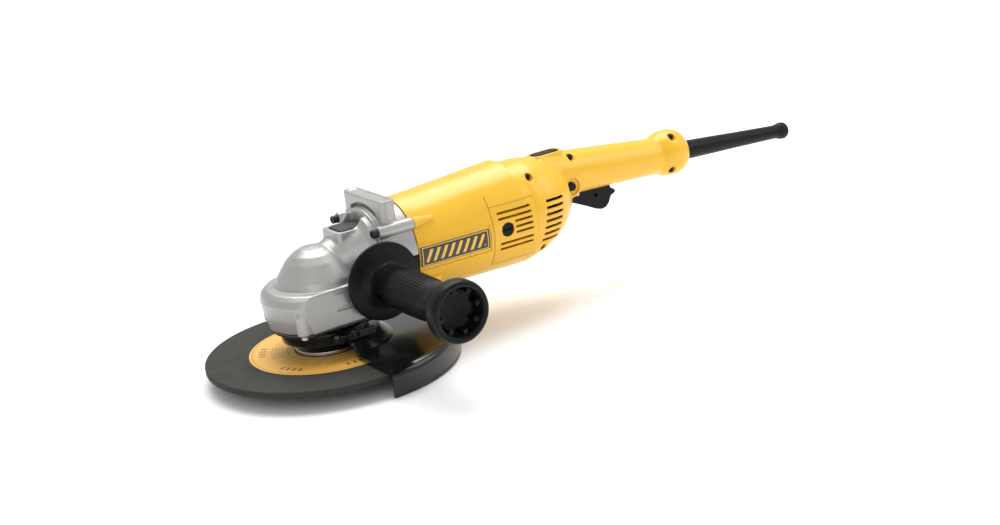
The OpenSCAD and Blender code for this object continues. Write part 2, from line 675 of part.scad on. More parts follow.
module handle_screws() color(black) for (p = handle_screw_at) translate([p[0], 0, axis_z + p[1]])
  rotate([90, 0, 0]) difference() {
    union() {
      translate([0, 0, -8]) cylinder(r = 1.6, h = p[2] - head_in + 8 + eps);
      translate([0, 0, p[2] - head_in]) cylinder(r = 3.2, h = head_h);
    }
    translate([0, 0, p[2] - head_in + head_h - 1.6]) cylinder(r = 1.5, h = 4, $fn = 6);
  }
module switch_body() color([0.2, 0.2, 0.22]) {
  translate([sw_x0, -sw_w / 2, sw_z0]) cube([sw_l, sw_w, sw_h]);
  translate([sw_x0 + 46, 0, sw_z0 - 2]) cylinder(r = 2.4, h = 3);
}
module terminal_block() color([0.85, 0.85, 0.82]) translate([handle_x1 - 98, -7, axis_z + 12]) difference() {
  cube([18, 14, 10]);
  for (x = [5, 13]) translate([x, 7, 4]) cylinder(r = 2, h = 10);
}
module suppressor_capacitor() color([0.25, 0.35, 0.55]) translate([handle_x1 - 72, -6.5, axis_z + 9]) cube([20, 13, 11]);
module soft_start_module() color([0.1, 0.1, 0.1]) translate([house_x1 + 14, -16, axis_z + 2]) cube([24, 32, 13]);
module cord_boot() color(black) boot_place() difference() {
  union() {
    translate([0, 0, -8.5]) cylinder(r = boot_r0 + 2.5, h = 4);
    translate([0, 0, -6]) cylinder(r = boot_r0, h = 8);
    translate([0, 0, 2]) cylinder(r1 = boot_r0, r2 = boot_rn, h = boot_l - 20);
    translate([0, 0, boot_l - 18]) rotate_extrude() polygon([[0, 0], [boot_rn, 0], [boot_rn, 4],
      [boot_rt - 0.4, 9], [boot_rt, 11], [boot_rt, 16], [boot_rt - 1.5, 18], [0, 18]]);
  }
  translate([0, 0, -20]) cylinder(r = cable_r, h = boot_l + 40);
}
module cord_clamp() color([0.15, 0.15, 0.15]) translate([handle_x1 - 15, 0, axis_z + 7.5]) difference() {
  translate([-5, -13, -7]) cube([10, 26, 6]);
  translate([0, 0, 4]) rotate([0, 90, 0]) cylinder(r = cable_r, h = 20, center = true);
  for (s = [-1, 1]) translate([0, s * 9.5, -10]) cylinder(r = 1.5, h = 20);
}
module cord_clamp_screws() color(steel) translate([handle_x1 - 15, 0, axis_z + 7.5]) for (s = [-1, 1])
  translate([0, s * 9.5, 0]) {
    translate([0, 0, -7]) cylinder(r = 1.5, h = 7);
    translate([0, 0, -1]) cylinder(r = 2.8, h = 2);
  }
module trigger_pin() color(steel) translate([trig_px, 0, trig_pz]) rotate([90, 0, 0])
  cylinder(r = trig_pin_r, h = 26, center = true);
module trigger() color(black) difference() {
  union() {
    translate([trig_px, trig_w / 2, trig_pz]) rotate([90, 0, 0]) linear_extrude(trig_w) polygon([[-11, 3.5],
      [-13.5, 1], [-14, -3], [-9, -7], [10, -15.5], [24, -22.5], [31, -24.5], [36, -23.5], [40, -20],
      [43.5, -13], [48, -11.5], [49.5, -9.5], [48, -7], [44, -5], [42, 3], [38, 6], [5, 5], [0, 5]]);
    translate([trig_px + 25, 0, trig_pz - 8]) rotate([90, 0, 0]) cylinder(r = 4.5, h = trig_w + 0.4, center = true);
  }
  translate([trig_px, 0, trig_pz]) rotate([90, 0, 0]) cylinder(r = trig_pin_r + fit, h = 40, center = true);
  translate([trig_px + 25, 0, trig_pz - 8]) rotate([90, 0, 0]) cylinder(r = 1.8, h = 40, center = true);
}
module trigger_spring() color(steel) translate([trig_px + 18, 0, trig_pz + 5.6])
  coil(3.4, 0.5, 4, sw_z0 - trig_pz - 5.7);
module lock_on_button() color(black) translate([side_btn_x, 0, side_btn_z]) rotate([90, 0, 0])
  translate([0, 0, sw_w / 2 + 4]) cylinder(r = side_btn_r, h = 9.5);
module lock_on_spring() color(steel) translate([side_btn_x, 0, side_btn_z]) rotate([90, 0, 0])
  translate([0, 0, sw_w / 2 + 0.1]) coil(2.4, 0.3, 3, 3.7);
module lock_off_button() color(black) {
  translate([top_btn_x, 0, top_btn_z - 9]) linear_extrude(8) rounded(top_btn_l, top_btn_w, top_btn_w / 2 - 0.2);
  translate([top_btn_x, 0, top_btn_z - 1]) linear_extrude(1) rounded(top_btn_l - 1.5, top_btn_w - 1.5, top_btn_w / 2 - 1.2);
}
module lock_off_spring() color(steel) translate([top_btn_x + 4, 0, sw_z0 + sw_h + 0.1])
  coil(3.4, 0.35, 2, top_btn_z - 9.2 - sw_z0 - sw_h);

// ---------- side handle ----------
module side_place() translate([side_x, -pad_y, side_z]) rotate([90, 0, 0]) children();
module side_handle_grip() color(black) side_place() difference() {
  k = side_knob_d / 2;
  rotate_extrude() polygon([[0, 0], [hub_r, 0], [hub_r, 4], [18, rim_y - pad_y + 1], [rim_r - 2, rim_y - pad_y],
    [rim_r, rim_y - pad_y + 1], [rim_r, rim_y - pad_y + 3], [rim_r - 1, rim_y - pad_y + 4.2],
    [24, rim_y - pad_y + 5.5], [17, 14], [15, 19], [16, 26], [18.5, 34], [20, 60], [20, 85],
    [19, side_l - 30], [21, side_l - 20], [k - 3, side_l - 12], [k, side_l - 8], [k, side_l + 3],
    [k - 1.5, side_l + 6], [k - 3.5, side_l + 7], [k - 6.5, side_l + 7], [k - 8, side_l + 2],
    [14, side_l - 16], [0, side_l - 18]]);
  translate([0, 0, -1]) cylinder(r = stud_r, h = 31);
}
module side_handle_stud() color(steel) side_place() translate([0, 0, -stud_in]) cylinder(r = stud_r, h = stud_in + 30);

// ---------- spindle lock ----------
module spindle_lock_button() color([0.16, 0.16, 0.16]) {
  translate([lock_x, 0, lock_top - lock_h]) linear_extrude(lock_h) rounded(lock_l, lock_w, 3.8);
  translate([lock_x, 0, lock_pin_z]) cylinder(r = lock_pin_r, h = lock_top - lock_h - lock_pin_z + 1);
}
module spindle_lock_spring() color(steel) translate([lock_x, 0, lock_floor + 0.05])
  coil(5, 0.45, 3, lock_top - lock_h - lock_floor - 0.1);

// ---------- guard ----------
module guard_shell() color(black) {
  r = disc_r + guard_gap;
  t = guard_t;
  z = disc_z1 + 3;
  zl = z + t - skirt_drop;
  rotate(-90) rotate_extrude(angle = 180) polygon([[collar_r + 3, band_z0 + t], [collar_r + 3, band_z0],
    [collar_r + 13, band_z0 - 1], [collar_r + 24, z], [r - 6, z], [r - 2, z - 2], [r, z - 6], [r, zl + 2],
    [r - 1.2, zl], [r + t + 0.6, zl], [r + t + 0.6, zl + 2], [r + t, zl + 3], [r + t, z - 5],
    [r + t - 2, z], [r - 5, z + t], [collar_r + 24, z + t], [collar_r + 13, band_z0 + t]]);
}
module guard_clamp_band() color(black) difference() {
  union() {
    translate([0, 0, band_z0]) cylinder(r = collar_r + 3, h = band_h - 0.5);
    for (x = [-10, -2]) translate([x, -lug_y - 5, screw_z - lever_h / 2]) cube([4, 12, lever_h]);
  }
  translate([0, 0, band_z0 - 1]) cylinder(r = collar_r + 0.08, h = band_h + 4);
  translate([-6, -lug_y - 10, band_z0 - 1]) cube([4, 20, band_h + 4]);
  along_x(-20, screw_z, -lug_y) cylinder(r = 2, h = 30);
}
module guard_clamp_screw() color(steel) {
  along_x(-12, screw_z, -lug_y) cylinder(r = 2, h = lever_x + 12 - 3.5);
  along_x(-14, screw_z, -lug_y) cylinder(r = 4, h = 4, $fn = 6);
  translate([lever_x, -lug_y, screw_z]) difference() {
    union() {
      cylinder(r = 3.7, h = 4, center = true);
      translate([-3.9, -1.6, -1.6]) cube([3, 3.2, 3.2]);
    }
    cylinder(r = lever_pin_r, h = 20, center = true);
  }
}
module guard_lever_pin() color(steel) translate([lever_x, -lug_y, screw_z - lever_h / 2])
  cylinder(r = lever_pin_r, h = lever_h);
module guard_clamp_lever() color(steel) difference() {
  union() {
    for (z = [-lever_h / 2, 2.2]) translate([lever_x, -lug_y, screw_z + z]) {
      cylinder(r = 3.6, h = lever_h / 2 - 2.2);
      translate([0, -3.4, 0]) cube([8, 3.2, lever_h / 2 - 2.2]);
    }
    translate([lever_x + 4.4, -lug_y - 3.4, screw_z - lever_h / 2]) cube([17, 3.2, lever_h]);
  }
  translate([lever_x, -lug_y, screw_z]) cylinder(r = lever_pin_r + fit, h = 30, center = true);
}

gear_case();
bearing_cover();
cover_screws();
gear_case_screws();
air_baffle();
motor_housing();
badge_plate();
handle_shell_left();
handle_shell_right();
handle_screws();
brush_caps();
brush_holders();
carbon_brushes();
brush_springs();
stator_core();
stator_windings();
pinion_bearing();
rear_motor_bearing();
spindle_ball_bearing();
spindle_top_bush();
switch_body();
terminal_block();
suppressor_capacitor();
soft_start_module();
cord_boot();
cord_clamp();
cord_clamp_screws();
side_handle_grip();
side_handle_stud();
trigger_pin();
spindle_lock_button();
spindle_lock_spring();
spindle();
crown_gear();
gear_retaining_ring();
inner_flange();
grinding_disc();
disc_label();
lock_nut();
armature_shaft();
armature_core();
armature_windings();
commutator();
fan();
pinion();
pinion_nut();
guard_shell();
guard_clamp_band();
guard_clamp_screw();
guard_lever_pin();
guard_clamp_lever();
trigger();
trigger_spring();
lock_on_button();
lock_on_spring();
lock_off_button();
lock_off_spring();
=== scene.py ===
import json
import math

import bmesh
import bpy
from mathutils import Matrix, Vector


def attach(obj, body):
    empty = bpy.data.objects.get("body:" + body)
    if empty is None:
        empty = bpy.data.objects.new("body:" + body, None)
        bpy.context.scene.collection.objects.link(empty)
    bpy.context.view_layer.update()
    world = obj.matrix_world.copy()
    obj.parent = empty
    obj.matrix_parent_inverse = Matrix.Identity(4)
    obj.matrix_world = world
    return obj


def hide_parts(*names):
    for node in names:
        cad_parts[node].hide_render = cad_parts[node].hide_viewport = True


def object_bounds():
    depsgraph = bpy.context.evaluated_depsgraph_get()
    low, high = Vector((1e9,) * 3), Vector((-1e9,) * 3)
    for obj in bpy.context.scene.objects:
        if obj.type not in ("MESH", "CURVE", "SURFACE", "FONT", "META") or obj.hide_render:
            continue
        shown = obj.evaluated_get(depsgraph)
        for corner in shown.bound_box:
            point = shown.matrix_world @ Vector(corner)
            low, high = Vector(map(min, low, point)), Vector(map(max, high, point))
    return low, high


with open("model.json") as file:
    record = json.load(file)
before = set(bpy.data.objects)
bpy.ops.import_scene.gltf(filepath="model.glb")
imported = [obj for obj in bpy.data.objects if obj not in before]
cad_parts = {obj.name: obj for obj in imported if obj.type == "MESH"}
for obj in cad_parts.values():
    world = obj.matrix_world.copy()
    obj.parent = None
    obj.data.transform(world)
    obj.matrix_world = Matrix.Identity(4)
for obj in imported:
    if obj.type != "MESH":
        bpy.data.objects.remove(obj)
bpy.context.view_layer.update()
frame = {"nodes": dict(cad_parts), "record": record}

# %% [markdown]
# # A large two-handed angle grinder
# The tool is read from nose to tail: a grinding disc under a cast gear case, a half guard round the back of
# the disc, a side handle, the motor housing, and a moulded rear handle that ends in a cord boot.
# Everything shares one frame in metres. The origin is the spindle's free end, +Z runs up the spindle and
# +X runs back along the motor. Lengths below are written in millimetres and turned into metres once.

# %% Shared numbers
MM = 0.001
BODY_OF = {}
for body_name, members in frame["record"]["behaviour"]["bodies"].items():
    for member in members:
        BODY_OF[member] = body_name
SLOT_OF = {row["node"]: row["material_slot"] for row in frame["record"]["subparts"]}

# %% [markdown]
# ## Small node-tree helpers
# A procedural finish is a chain of small sums on the surface's own position. These helpers add a node, join
# sockets and write arithmetic in one line each, so the materials further down stay readable.

# %% Node helpers
def add(tree, kind, **values):
    """Adds a node and sets its properties."""
    made = tree.nodes.new(kind)
    for key, value in values.items():
        setattr(made, key, value)
    return made


def feed(tree, value, socket):
    """Joins a socket to a socket, or stores a plain value in it."""
    if isinstance(value, bpy.types.NodeSocket):
        tree.links.new(value, socket)
    else:
        socket.default_value = value


def calc(tree, operation, a, b=0.0, c=0.0, clamp=False):
    """One Math node, returned as its output."""
    made = add(tree, "ShaderNodeMath", operation=operation, use_clamp=clamp)
    feed(tree, a, made.inputs[0])
    feed(tree, b, made.inputs[1])
    feed(tree, c, made.inputs[2])
    return made.outputs[0]


def band(tree, value, low, high, soft):
    """1 where value lies between low and high, with soft edges."""
    up = add(tree, "ShaderNodeMapRange", interpolation_type="SMOOTHSTEP")
    feed(tree, value, up.inputs["Value"])
    up.inputs["From Min"].default_value = low - soft
    up.inputs["From Max"].default_value = low + soft
    down = add(tree, "ShaderNodeMapRange", interpolation_type="SMOOTHSTEP")
    feed(tree, value, down.inputs["Value"])
    down.inputs["From Min"].default_value = high - soft
    down.inputs["From Max"].default_value = high + soft
    return calc(tree, "SUBTRACT", up.outputs["Result"], down.outputs["Result"], clamp=True)


def both(tree, *masks):
    """The product of several masks."""
    out = masks[0]
    for mask in masks[1:]:
        out = calc(tree, "MULTIPLY", out, mask)
    return out


def either(tree, *masks):
    """The largest of several masks."""
    out = masks[0]
    for mask in masks[1:]:
        out = calc(tree, "MAXIMUM", out, mask)
    return out


def mix(tree, factor, a, b):
    """A colour between a and b."""
    made = add(tree, "ShaderNodeMix", data_type="RGBA")
    feed(tree, factor, made.inputs["Factor"])
    feed(tree, a, made.inputs["A"])
    feed(tree, b, made.inputs["B"])
    return made.outputs["Result"]


def place(tree):
    """The surface point in the object's own frame, as X, Y and Z sockets and the whole vector."""
    coord = add(tree, "ShaderNodeTexCoord").outputs["Object"]
    parts = add(tree, "ShaderNodeSeparateXYZ")
    tree.links.new(coord, parts.inputs[0])
    return parts.outputs[0], parts.outputs[1], parts.outputs[2], coord


print("node helpers ready")

# %% [markdown]
# ## One shared grain
# Castings, mouldings and paint all carry the same two things: a slow drift in tone and a fine grain that
# breaks up the highlight. Both come from one node group, so every finish is tuned by its scale alone.

# %% Grain group
def grain_group():
    group = bpy.data.node_groups.new("surface_grain", "ShaderNodeTree")
    group.interface.new_socket("Scale", in_out="INPUT", socket_type="NodeSocketFloat")
    for name in ("Tone", "Grain", "Wear"):
        group.interface.new_socket(name, in_out="OUTPUT", socket_type="NodeSocketFloat")
    inlet = add(group, "NodeGroupInput")
    outlet = add(group, "NodeGroupOutput")
    coord = add(group, "ShaderNodeTexCoord").outputs["Object"]
    found = []
    for share, detail in ((0.03, 3.0), (1.0, 4.0), (0.12, 6.0)):
        noise = add(group, "ShaderNodeTexNoise")
        group.links.new(coord, noise.inputs["Vector"])
        group.links.new(calc(group, "MULTIPLY", inlet.outputs["Scale"], share), noise.inputs["Scale"])
        noise.inputs["Detail"].default_value = detail
        found.append(noise.outputs["Fac"])
    group.links.new(found[0], outlet.inputs["Tone"])
    group.links.new(found[1], outlet.inputs["Grain"])
    group.links.new(band(group, found[2], 0.62, 2.0, 0.05), outlet.inputs["Wear"])
    return group


GRAIN = grain_group()
print("grain group:", len(GRAIN.nodes), "nodes")

# %% [markdown]
# ## Finishes
# Each finish starts from a Principled shader. The tone drifts between two close colours, the roughness
# drifts with it, and the grain goes to a bump. A finish can add its own pattern through `extra`, which
# returns a colour, a roughness and a height.

# %% Finish builder
FINISHES = {}


def finish(name, low, high, rough, metal=0.0, scale=900.0, bump=0.12, coat=0.0, extra=None, deep=0.0006,
           spec=0.5):
    mat = bpy.data.materials.new(name)
    mat.use_nodes = True
    tree = mat.node_tree
    tree.nodes.clear()
    out = add(tree, "ShaderNodeOutputMaterial")
    shader = add(tree, "ShaderNodeBsdfPrincipled")
    tree.links.new(shader.outputs[0], out.inputs["Surface"])
    grain = add(tree, "ShaderNodeGroup")
    grain.node_tree = GRAIN
    grain.inputs["Scale"].default_value = scale
    colour = mix(tree, grain.outputs["Tone"], (*low, 1.0), (*high, 1.0))
    worn = add(tree, "ShaderNodeMapRange")
    tree.links.new(grain.outputs["Tone"], worn.inputs["Value"])
    worn.inputs["From Min"].default_value = 0.25
    worn.inputs["From Max"].default_value = 0.75
    worn.inputs["To Min"].default_value = rough[0]
    worn.inputs["To Max"].default_value = rough[1]
    roughness = calc(tree, "MULTIPLY_ADD", grain.outputs["Wear"], 0.08, worn.outputs["Result"])
    height = calc(tree, "MULTIPLY", grain.outputs["Grain"], bump)
    if extra:
        colour, roughness, height = extra(tree, colour, roughness, height)
    tree.links.new(colour, shader.inputs["Base Color"])
    tree.links.new(roughness, shader.inputs["Roughness"])
    shader.inputs["Metallic"].default_value = metal
    shader.inputs["Coat Weight"].default_value = coat
    shader.inputs["Coat Roughness"].default_value = 0.06
    shader.inputs["Specular IOR Level"].default_value = spec
    relief = add(tree, "ShaderNodeBump")
    relief.inputs["Strength"].default_value = 1.0
    relief.inputs["Distance"].default_value = deep
    tree.links.new(height, relief.inputs["Height"])
    tree.links.new(relief.outputs["Normal"], shader.inputs["Normal"])
    FINISHES[name] = mat
    return mat


print("finish builder ready")

# %% [markdown]
# The yellow mouldings carry shallow parting lines and fine grip lines that are cheaper as relief than as
# geometry: a line across the flank in front of the air slots, a line where the panel ends, and rows of
# close lines along the side of the grip where the palm sits.

# %% Yellow moulding
def yellow_lines(tree, colour, roughness, height):
    x, y, z, coord = place(tree)
    side = band(tree, calc(tree, "ABSOLUTE", y), 0.036, 0.08, 0.0008)
    cross = band(tree, x, 0.1655, 0.1667, 0.0003)
    flank = band(tree, z, 0.058, 0.126, 0.0006)
    frame_lines = either(tree, band(tree, z, 0.0575, 0.0585, 0.0003), band(tree, z, 0.1155, 0.1165, 0.0003))
    long_lines = both(tree, frame_lines, band(tree, x, 0.1655, 0.216, 0.0003))
    slope = calc(tree, "MULTIPLY_ADD", x, 0.0875, z)
    rows = calc(tree, "SINE", calc(tree, "MULTIPLY", slope, 2 * math.pi / 0.0024))
    palm = both(tree, band(tree, x, 0.318, 0.392, 0.004), band(tree, slope, 0.1285, 0.1475, 0.0012))
    grip = calc(tree, "MULTIPLY", both(tree, rows, palm), 0.10)
    lines = both(tree, either(tree, both(tree, cross, flank), long_lines), side)
    height = calc(tree, "ADD", calc(tree, "SUBTRACT", height, lines), grip)
    colour = mix(tree, calc(tree, "MULTIPLY", lines, 0.45), colour, (0.30, 0.15, 0.01, 1.0))
    return colour, roughness, height


finish("yellow_plastic", (0.80, 0.44, 0.016), (0.85, 0.485, 0.022), (0.26, 0.36), scale=1400.0, bump=0.10,
       extra=yellow_lines, coat=0.12)
finish("cast_alloy", (0.37, 0.366, 0.355), (0.45, 0.445, 0.432), (0.30, 0.42), metal=0.6, scale=1500.0, bump=0.22)
finish("black_plastic", (0.003, 0.0035, 0.0035), (0.006, 0.0065, 0.0065), (0.30, 0.40), scale=1800.0,
       bump=0.10, spec=0.16)
finish("dark_button", (0.016, 0.016, 0.015), (0.024, 0.024, 0.023), (0.42, 0.55), scale=1800.0, bump=0.12)
finish("rubber_boot", (0.003, 0.003, 0.0035), (0.006, 0.006, 0.0065), (0.36, 0.48), scale=1600.0, bump=0.14,
       spec=0.18)
finish("guard_paint", (0.004, 0.004, 0.0045), (0.007, 0.007, 0.0075), (0.14, 0.20), scale=500.0, bump=0.012,
       coat=0.3, spec=0.35)
finish("screw_black", (0.02, 0.02, 0.021), (0.04, 0.04, 0.042), (0.32, 0.45), metal=0.7, scale=2500.0, bump=0.06)
finish("steel", (0.45, 0.46, 0.47), (0.60, 0.61, 0.62), (0.24, 0.38), metal=1.0, scale=2500.0, bump=0.06)
finish("gear_steel", (0.24, 0.24, 0.25), (0.34, 0.34, 0.35), (0.22, 0.34), metal=1.0, scale=2500.0, bump=0.05)
finish("core_steel", (0.20, 0.20, 0.21), (0.30, 0.30, 0.31), (0.35, 0.5), metal=0.9, scale=2200.0, bump=0.08)
finish("copper", (0.50, 0.20, 0.07), (0.62, 0.27, 0.10), (0.28, 0.42), metal=0.9, scale=2500.0, bump=0.10)
finish("bronze", (0.46, 0.31, 0.12), (0.56, 0.40, 0.18), (0.30, 0.42), metal=0.9, scale=2200.0, bump=0.06)
finish("carbon", (0.03, 0.03, 0.032), (0.05, 0.05, 0.052), (0.5, 0.65), scale=2600.0, bump=0.15)
finish("module_blue", (0.06, 0.11, 0.26), (0.08, 0.14, 0.30), (0.35, 0.5), scale=1800.0, bump=0.05)
finish("white_plastic", (0.60, 0.60, 0.56), (0.70, 0.70, 0.66), (0.35, 0.5), scale=1800.0, bump=0.05)
print("plain finishes:", sorted(FINISHES))

# %% [markdown]
# The abrasive wheel is grit in resin, pressed over a woven glass net. Crossing waves give the weave and a
# fine cell pattern gives the grit. The cut edge is darker because the net is buried there.

# %% Abrasive, label and badge
def grit(tree, colour, roughness, height):
    x, y, z, coord = place(tree)
    weave = []
    for axis in (x, y):
        wave = calc(tree, "SINE", calc(tree, "MULTIPLY", axis, 2 * math.pi / 0.0024))
        weave.append(calc(tree, "MULTIPLY_ADD", wave, 0.5, 0.5))
    radius = calc(tree, "SQRT", calc(tree, "ADD", calc(tree, "POWER", x, 2.0), calc(tree, "POWER", y, 2.0)))
    face = band(tree, radius, -1.0, 0.1142, 0.0002)
    net = both(tree, weave[0], weave[1], face)
    cells = add(tree, "ShaderNodeTexVoronoi")
    tree.links.new(coord, cells.inputs["Vector"])
    cells.inputs["Scale"].default_value = 1300.0
    speck = band(tree, cells.outputs["Distance"], -1.0, 0.22, 0.05)
    colour = mix(tree, calc(tree, "MULTIPLY", net, 0.55), colour, (0.075, 0.076, 0.062, 1.0))
    colour = mix(tree, calc(tree, "MULTIPLY", speck, 0.35), colour, (0.15, 0.15, 0.125, 1.0))
    height = calc(tree, "ADD", height, calc(tree, "MULTIPLY_ADD", net, 0.45, calc(tree, "MULTIPLY", speck, 0.25)))
    return colour, roughness, height


def printed(tree, colour, roughness, height):
    x, y, z, coord = place(tree)
    radius = calc(tree, "SQRT", calc(tree, "ADD", calc(tree, "POWER", x, 2.0), calc(tree, "POWER", y, 2.0)))
    angle = calc(tree, "ARCTAN2", y, x)
    ring = either(tree, band(tree, radius, 0.0705, 0.0712, 0.0001), band(tree, radius, 0.0372, 0.0378, 0.0001))
    block = band(tree, calc(tree, "FRACT", calc(tree, "MULTIPLY", angle, 3.82)), 0.08, 0.86, 0.01)
    bars = either(tree, *[band(tree, radius, r, r + 0.0005, 0.0001) for r in (0.043, 0.046, 0.049, 0.052)])
    bold = both(tree, band(tree, radius, 0.058, 0.0645, 0.0002),
                band(tree, calc(tree, "FRACT", calc(tree, "MULTIPLY", angle, 9.55)), 0.2, 0.62, 0.01),
                band(tree, calc(tree, "FRACT", calc(tree, "MULTIPLY", angle, 0.955)), 0.3, 0.7, 0.01))
    ink = either(tree, ring, both(tree, bars, block), bold)
    colour = mix(tree, calc(tree, "MULTIPLY", ink, 0.8), colour, (0.09, 0.055, 0.02, 1.0))
    return colour, roughness, height


def stripes(tree, colour, roughness, height):
    x, y, z, coord = place(tree)
    lean = calc(tree, "MULTIPLY_ADD", z, -0.5, x)
    inside = both(tree, band(tree, x, 0.092, 0.156, 0.0002), band(tree, z, 0.0825, 0.0945, 0.0002))
    bars = both(tree, inside, band(tree, calc(tree, "FRACT", calc(tree, "MULTIPLY", lean, 125.0)), 0.2, 0.62, 0.02))
    edge = band(tree, z, 0.0803, 0.0967, 0.0001)
    rim = calc(tree, "SUBTRACT", band(tree, x, 0.0885, 0.1595, 0.0001),
               both(tree, edge, band(tree, x, 0.0893, 0.1587, 0.0001)), clamp=True)
    ink = calc(tree, "MAXIMUM", bars, both(tree, rim, band(tree, z, 0.0795, 0.0975, 0.0001)))
    colour = mix(tree, ink, colour, (0.86, 0.50, 0.03, 1.0))
    return colour, roughness, height


finish("abrasive", (0.018, 0.019, 0.016), (0.030, 0.030, 0.025), (0.62, 0.82), scale=1200.0, bump=0.35,
       extra=grit, deep=0.0007, spec=0.35)
finish("label_paper", (0.80, 0.42, 0.07), (0.84, 0.47, 0.09), (0.42, 0.55), scale=1500.0, bump=0.03, extra=printed)
finish("badge", (0.010, 0.010, 0.010), (0.016, 0.016, 0.016), (0.22, 0.32), scale=1500.0, bump=0.02, coat=0.3,
       extra=stripes)
print("finishes in all:", len(FINISHES))

# %% [markdown]
# ## Making pieces
# Three ways of making a solid cover most of the tool, and the exact solids do for the rest.
#
# A **lathe** turns a profile round an axis. Before it turns, each corner of the profile is cut by a small
# curve, because nothing pressed, turned or moulded has a perfectly sharp edge.
#
# A **casting** starts from the exact solid, is rebuilt as an even grid of small faces, and is relaxed a
# little. The relaxing rounds every inside and outside corner at once, the way a mould does.
#
# **Ribs and lugs** are one small block repeated by a geometry-nodes tree.

# %% Solid helpers
def keep(piece, node, *more):
    """Gives the piece its finish and its CAD body, and hides the solid it stands for."""
    piece.data.materials.clear()
    piece.data.materials.append(FINISHES[SLOT_OF[node]])
    for poly in piece.data.polygons:
        poly.material_index = 0
    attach(piece, BODY_OF[node])
    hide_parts(node, *more)
    return piece


def mesh_object(name, bm, smooth=40.0):
    """A bmesh as a finished object, its faces outward and its hard edges marked by angle."""
    bmesh.ops.recalc_face_normals(bm, faces=bm.faces)
    mesh = bpy.data.meshes.new(name)
    bm.to_mesh(mesh)
    bm.free()
    made = bpy.data.objects.new(name, mesh)
    bpy.context.scene.collection.objects.link(made)
    mesh.shade_smooth()
    if smooth:
        mesh.set_sharp_from_angle(angle=math.radians(smooth))
    return made


def fillet(profile, radius, steps=3, loop=False):
    """Cuts each corner of a profile with a short curve."""
    out = []
    count = len(profile)
    for i, here in enumerate(profile):
        if not loop and i in (0, count - 1):
            out.append(here)
            continue
        p, q = Vector(here), None
        before, after = Vector(profile[i - 1]), Vector(profile[(i + 1) % count])
        cut = min(radius, 0.42 * (before - p).length, 0.42 * (after - p).length)
        a = p + (before - p).normalized() * cut
        b = p + (after - p).normalized() * cut
        for k in range(steps + 1):
            t = k / steps
            q = a * (1 - t) ** 2 + p * 2 * t * (1 - t) + b * t ** 2
            out.append((q.x, q.y))
    return out


def lathe(name, profile, origin=(0, 0, 0), axis=(0, 0, 1), segments=128, arc=360.0, start=0.0, loop=False,
          radius=0.6, smooth=40.0):
    """Turns (radius, height) points in millimetres round an axis. loop joins the last point to the first."""
    points = fillet(profile, radius, loop=loop)
    turn = Vector((0, 0, 1)).rotation_difference(Vector(axis).normalized()).to_matrix()
    full = arc >= 360.0
    bm = bmesh.new()
    rings = []
    for s in range(segments if full else segments + 1):
        a = math.radians(start + arc * s / segments)
        ring = []
        for r, h in points:
            if r < 1e-6 and rings and full:
                ring.append(rings[0][len(ring)])
                continue
            p = turn @ Vector((r * math.cos(a), r * math.sin(a), h)) + Vector(origin)
            ring.append(bm.verts.new(p * MM))
        rings.append(ring)
    count = len(points)
    for s in range(segments):
        one, two = rings[s], rings[(s + 1) % len(rings)]
        for i in range(count if loop else count - 1):
            j = (i + 1) % count
            corners = []
            for vert in (one[i], one[j], two[j], two[i]):
                if vert not in corners:
                    corners.append(vert)
            if len(corners) > 2:
                bm.faces.new(corners)
    if not full and loop:
        bm.faces.new(rings[0])
        bm.faces.new(rings[-1])
    return mesh_object(name, bm, smooth)


def copy_of(node, name):
    """A merged copy of a CAD solid's mesh."""
    bm = bmesh.new()
    bm.from_mesh(frame["nodes"][node].data)
    bmesh.ops.remove_doubles(bm, verts=bm.verts, dist=2e-6)
    return mesh_object(name, bm, 30.0)


def bake(made):
    """Turns an object's modifiers into its mesh."""
    bpy.context.view_layer.update()
    seen = made.evaluated_get(bpy.context.evaluated_depsgraph_get())
    mesh = bpy.data.meshes.new_from_object(seen)
    made.modifiers.clear()
    made.data = mesh
    return made


EASE = {"spindle_lock_button": 0.38}


def casting(node, name, voxel, relax=6, factor=0.5):
    """Rebuilds a solid as an even skin and relaxes it. EASE pulls a skin in, so that it clears its pocket."""
    made = copy_of(node, name)
    grid = made.modifiers.new("grid", "REMESH")
    grid.mode = "VOXEL"
    grid.voxel_size = voxel * MM
    soft = made.modifiers.new("relax", "SMOOTH")
    soft.factor = factor
    soft.iterations = relax
    if node in EASE:
        ease = made.modifiers.new("ease", "DISPLACE")
        ease.mid_level = 0.0
        ease.strength = -EASE[node] * MM
    bake(made)
    made.data.shade_smooth()
    return keep(made, node)


print("solid helpers ready")

# %% [markdown]
# ## The gear case and what is bolted to it
# The gear case is a gravity casting: thick, soft-edged and slightly grainy. Its corner bosses hold the
# bearing cover below, and its flange carries the motor. Castings are rebuilt with a skin grid a little under
# one millimetre, fine enough to keep the exhaust slot and coarse enough to round like a mould.

# %% Castings and mouldings
made_castings = []
# each row: the solid, the grid in millimetres, the rounds of relaxing
for node, voxel, relax in (
    ("gear_case", 0.8, 6),
    ("handle_shell_left", 0.8, 5),
    ("handle_shell_right", 0.8, 5),
    ("bearing_cover", 0.7, 3),
    ("air_baffle", 0.8, 3),
    ("trigger", 0.4, 10),
    ("spindle_lock_button", 0.4, 6),
    ("lock_off_button", 0.3, 6),
    ("lock_on_button", 0.2, 4),
    ("gear_case_screws", 0.3, 1),
    ("handle_screws", 0.3, 1),
    ("brush_caps", 0.25, 2),
    ("guard_clamp_band", 0.4, 3),
    ("guard_clamp_lever", 0.25, 3),
    ("guard_clamp_screw", 0.25, 1),
    ("lock_nut", 0.35, 2),
):
    made_castings.append(casting(node, "skin_" + node, voxel, relax))
